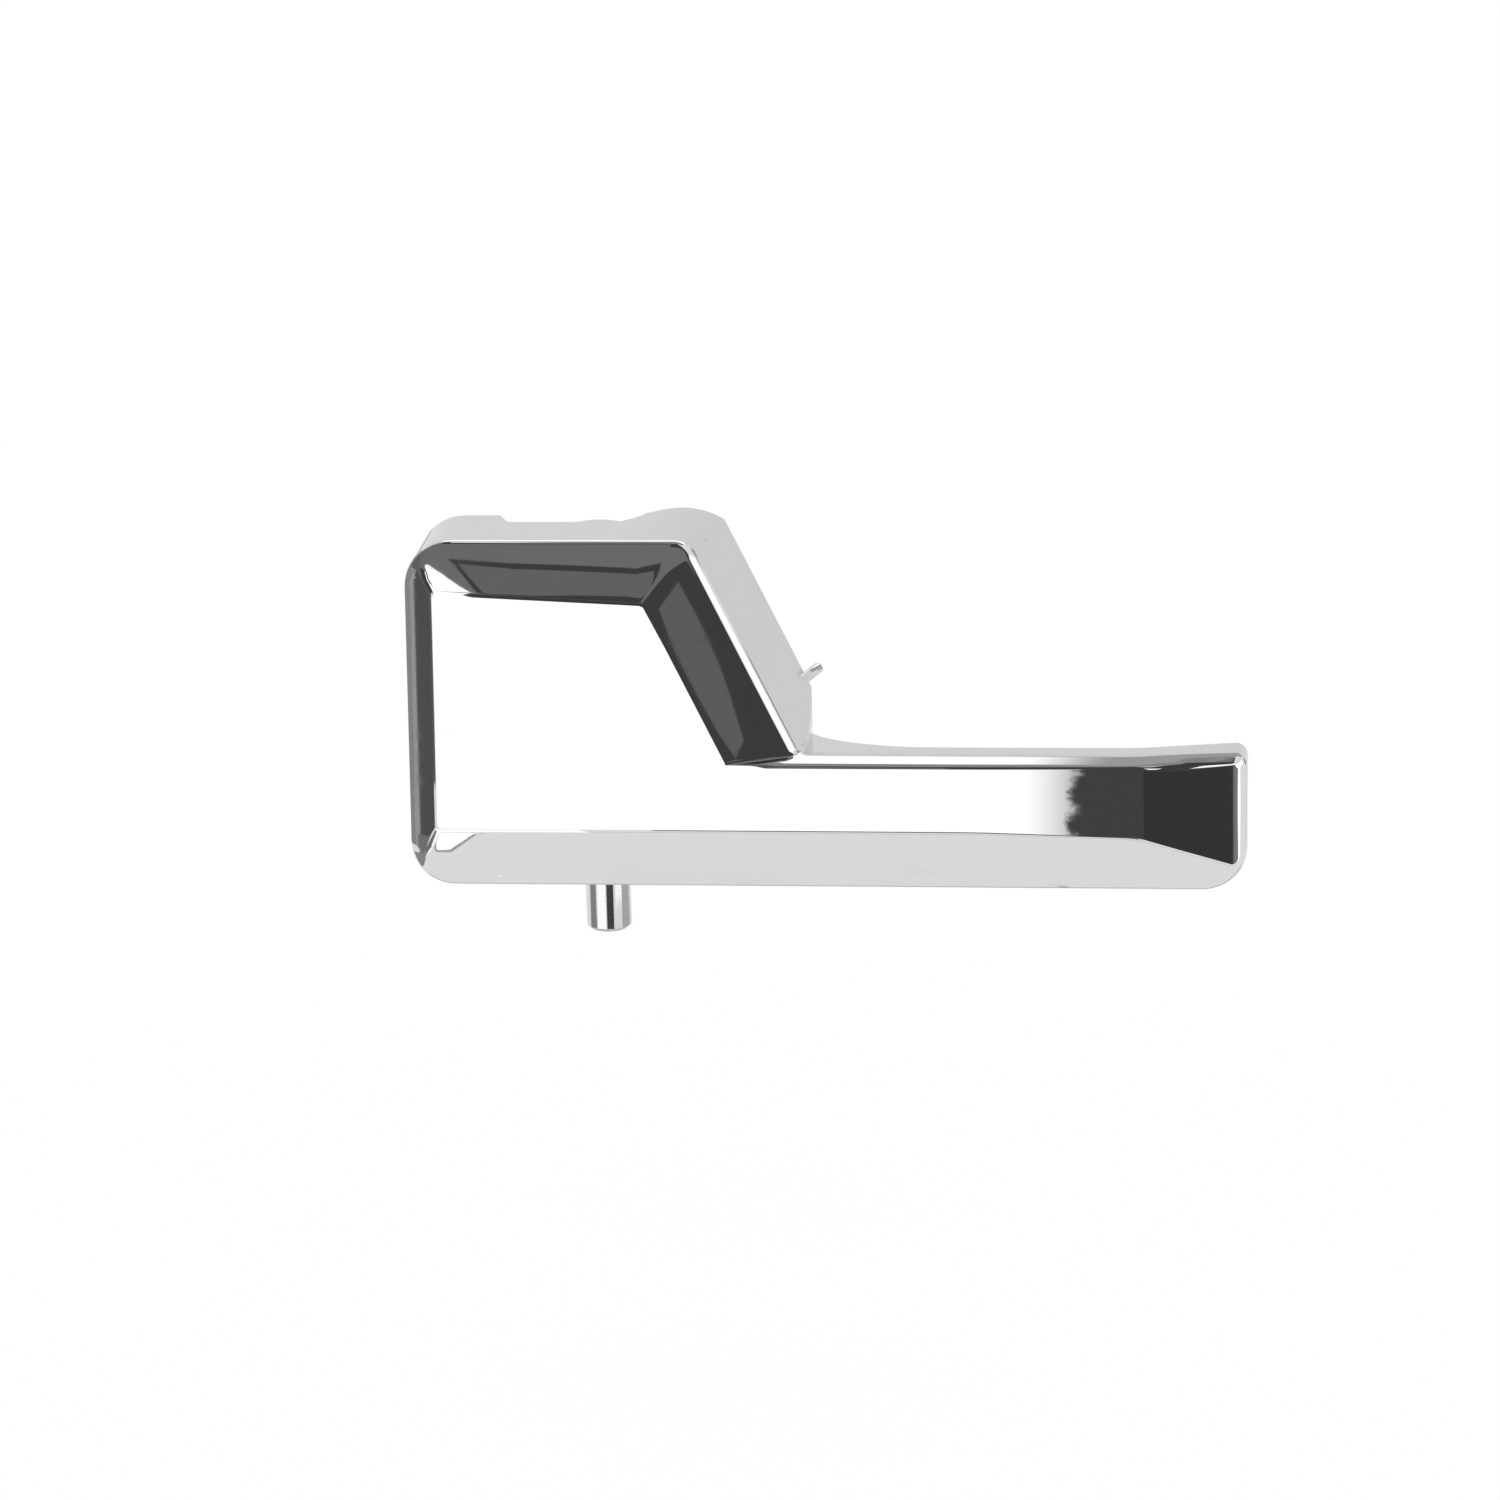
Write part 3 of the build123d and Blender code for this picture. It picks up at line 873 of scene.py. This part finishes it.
def add_bevel_cards(stage):
    """What the bevels and the rim show."""
    add_card("Top dark screen", screen(turns=(-125, 40), low=(400, 112), high=(100, 400)), stage.shade)
    add_card("Top strip screen", screen(turns=(-125, -7), low=(240, 187), high=(120, 278)), tone=0.2)
    add_card("Right dark screen", screen(turns=(-25, 34), low=(230, -30), high=(300, 130)), stage.shade)
    add_card("Right white screen", screen(turns=(38, 80), low=(150, -58), high=(220, 110)), stage.key)
    add_card("Right edge screen", screen(turns=(100, 112), low=(200, 0), high=(200, 80)), stage.shade)
    add_card("Corner top screen", screen(turns=(-125, -45), low=(240, 75), high=(240, 187)), tone=0.16)
    between_bevels = screen(turns=(-85, -24), low=(150, -30), high=(150, 70), centre=LEFT_EDGE)
    add_card("Corner left screen", between_bevels, tone=0.13)
    strip = (-60, -22, -6, 10, 45)
    # Name, reach, tone, bevel, and the low and the high row of places: along the bevel and over its width
    panels = (
        ("Left dark card", 100, 0.105, on_left, [(7.3, 0.4), (7.3, 6)], [(60, 0.4), (60, 6)]),
        ("Left grey card", 101, 0.41, on_left, [(3, -15), (3, 0.5)], [(60, -15), (60, 0.5)]),
        ("Left block card", 99, 0.22, on_left, [(-12, 0.3), (-12, 8)], [(7.3, 0.3), (7.3, 1.2)]),
        ("Top strip card", 56, 0.2, on_head, [(x, 1.2) for x in strip], [(x, -1.8) for x in strip]),
        ("Top outline card", 54.5, 0.062, on_head,
         [(-14.2, 1.08), (-8, 1.08), (5, 1.08), (8.5, 1.08)],
         [(-18.5, 0.36), (-10, 0.41), (6, 0.43), (9.3, 0.33)]),
        ("Top panel card", 53.5, 0.17, on_head,
         [(-13.9, 0.98), (-8, 0.95), (5, 0.87), (7.9, 0.87)],
         [(-17.3, 0.46), (-10, 0.51), (6, 0.52), (8.4, 0.45)]),
        ("Spike card", 52.5, stage.key, on_head,
         [(-21.4, 1.1), (-15.4, 0.99)],
         [(-22.6, 0.48), (-19.4, 0.67)]),
        ("Slope panel card", 150, 0.152, on_slope,
         [(38.4, 0.8), (33, 0.88), (27, 0.89), (22, 0.87), (18.3, 0.82)],
         [(41.7, 0.38), (37, 0.37), (31, 0.4), (26.7, 0.47), (20.5, 0.6)]),
        ("Foot outline card", 71, 0.4, on_foot,
         [(-22, 0.6), (-19.5, 0.61)],
         [(-22, 1.1), (-14.7, 1.05)]),
        ("Foot wedge card", 70, stage.key, on_foot,
         [(-21.6, 0.64), (-19.7, 0.65)],
         [(-21.9, 1.1), (-15.1, 1.05)]),
    )
    for name, reach, tone, side, low, high in panels:
        add_card(name, shown(stage, side, low, high, reach), tone)
    block = screen(turns=(-62, -30), low=(15, -1), high=(15, -9), centre=FOOT_CORNER)
    add_card("Foot block card", block, tone=0.22)
    corner = screen(turns=(0, 14), low=(240, 60), high=(240, 100), centre=SLOPE_END)
    add_card("Corner grey card", corner, tone=0.18, soft=0.3)


def add_back_cards(stage):
    """What the rim and the walls show of the surroundings behind, above and below the lever, with a painted
    shadow on the floor under it.
    """
    add_card("Head white card", sheet(across=(-130, 180), low=(75, 330), high=(320, 330)), stage.key)
    above_tip = sheet(across=(50, 150), low=(-10, 78), high=(70, 78))
    add_card("Tip grey card", above_tip, tone=0.45, soft=0.15)
    above_arm = sheet(across=(-60, 180), low=(-90, 330), high=(80, 330))
    add_card("Overhead card", above_arm, tone=0.32, soft=0.1)
    behind = screen(turns=(105, 185), low=(260, -150), high=(260, 250))
    add_card("Back right screen", behind, tone=0.83, soft=0.35)
    add_card("Back screen", screen(turns=(140, 250), low=(280, 0), high=(280, 270)), tone=0.84)
    beside = screen(turns=(-150, -72), low=(112, -29), high=(112, 60), centre=LEFT_EDGE)
    add_card("Left edge screen", beside, tone=0.32)
    # Grey sheet just above the floor under the lever: a painted shadow, which the rim shows in place of the
    # floor that the lever shades
    add_card("Painted shadow card", sheet(across=(-60, 140), low=(5, -55), high=(120, -55)), tone=0.7)


def add_pin_cards(stage):
    """What the pivot pin shows, low in front of it."""
    # Name, turns in degrees, reach, low level, high level and tone
    cards = (
        ("Pin white card", (-52, -9), 60, -36, -12, stage.key),
        ("Pin dark card", (-4, 31), 148, -59.5, -43, stage.shade),
        ("Pin right card", (76, 128), 60, -36, -12, 0.55),
        ("Pin left card", (-98, -60), 60, -36, -12, 0.32),
    )
    for name, turns, reach, low, high, tone in cards:
        add_card(name, screen(turns, (reach, low), (reach, high), centre=PIN_AXIS), tone)


class DOORLEVER_OT_add_lever(bpy.types.Operator):
    """Add the plated lever"""

    bl_idname = "door_lever.add_lever"
    bl_label = "Add Lever"

    def execute(self, context):
        lever = new_piece("handle_lever", "plated_lever", rework_lever)
        dress(lever, plating_material(context.scene.lever_finish))
        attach(lever, "lever")
        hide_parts("handle_lever")
        return {"FINISHED"}


class DOORLEVER_OT_add_pin(bpy.types.Operator):
    """Add the polished pivot pin"""

    bl_idname = "door_lever.add_pin"
    bl_label = "Add Pin"

    def execute(self, context):
        pin = new_piece("pivot_pin", "polished_pin", join_flats)
        dress(pin, steel_material(context.scene.pin_finish))
        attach(pin, "pin")
        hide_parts("pivot_pin")
        return {"FINISHED"}


class DOORLEVER_OT_add_stage(bpy.types.Operator):
    """Add the floor, the cards, the light and the camera"""

    bl_idname = "door_lever.add_stage"
    bl_label = "Add Stage"

    def execute(self, context):
        stage = context.scene.lever_stage
        context.scene.view_settings.view_transform = "Standard"
        set_world()
        add_floor(stage)
        add_camera(stage)
        add_face_cards(stage)
        add_bevel_cards(stage)
        add_back_cards(stage)
        add_pin_cards(stage)
        return {"FINISHED"}


class DOORLEVER_PT_panel(bpy.types.Panel):
    """Lever panel in the sidebar"""

    bl_idname = "DOORLEVER_PT_panel"
    bl_label = "Door Release Lever"
    bl_space_type = "VIEW_3D"
    bl_region_type = "UI"
    bl_category = "Lever"

    def draw(self, context):
        for group in GROUPS:
            settings = getattr(context.scene, group)
            for name in settings.__annotations__:
                self.layout.prop(settings, name)
        for operator in OPERATORS:
            self.layout.operator(operator.bl_idname)


GROUPS = {"lever_finish": LeverFinish, "pin_finish": PinFinish, "lever_stage": StageSettings}
OPERATORS = (DOORLEVER_OT_add_lever, DOORLEVER_OT_add_pin, DOORLEVER_OT_add_stage)


def register():
    for group in GROUPS.values():
        bpy.utils.register_class(group)
    for name, group in GROUPS.items():
        setattr(bpy.types.Scene, name, PointerProperty(type=group))
    for operator in OPERATORS:
        bpy.utils.register_class(operator)
    bpy.utils.register_class(DOORLEVER_PT_panel)


def unregister():
    bpy.utils.unregister_class(DOORLEVER_PT_panel)
    for operator in reversed(OPERATORS):
        bpy.utils.unregister_class(operator)
    for name in GROUPS:
        delattr(bpy.types.Scene, name)
    for group in reversed(GROUPS.values()):
        bpy.utils.unregister_class(group)


def main():
    register()
    bpy.ops.door_lever.add_lever()
    bpy.ops.door_lever.add_pin()
    bpy.ops.door_lever.add_stage()


if __name__ == "__main__":
    main()
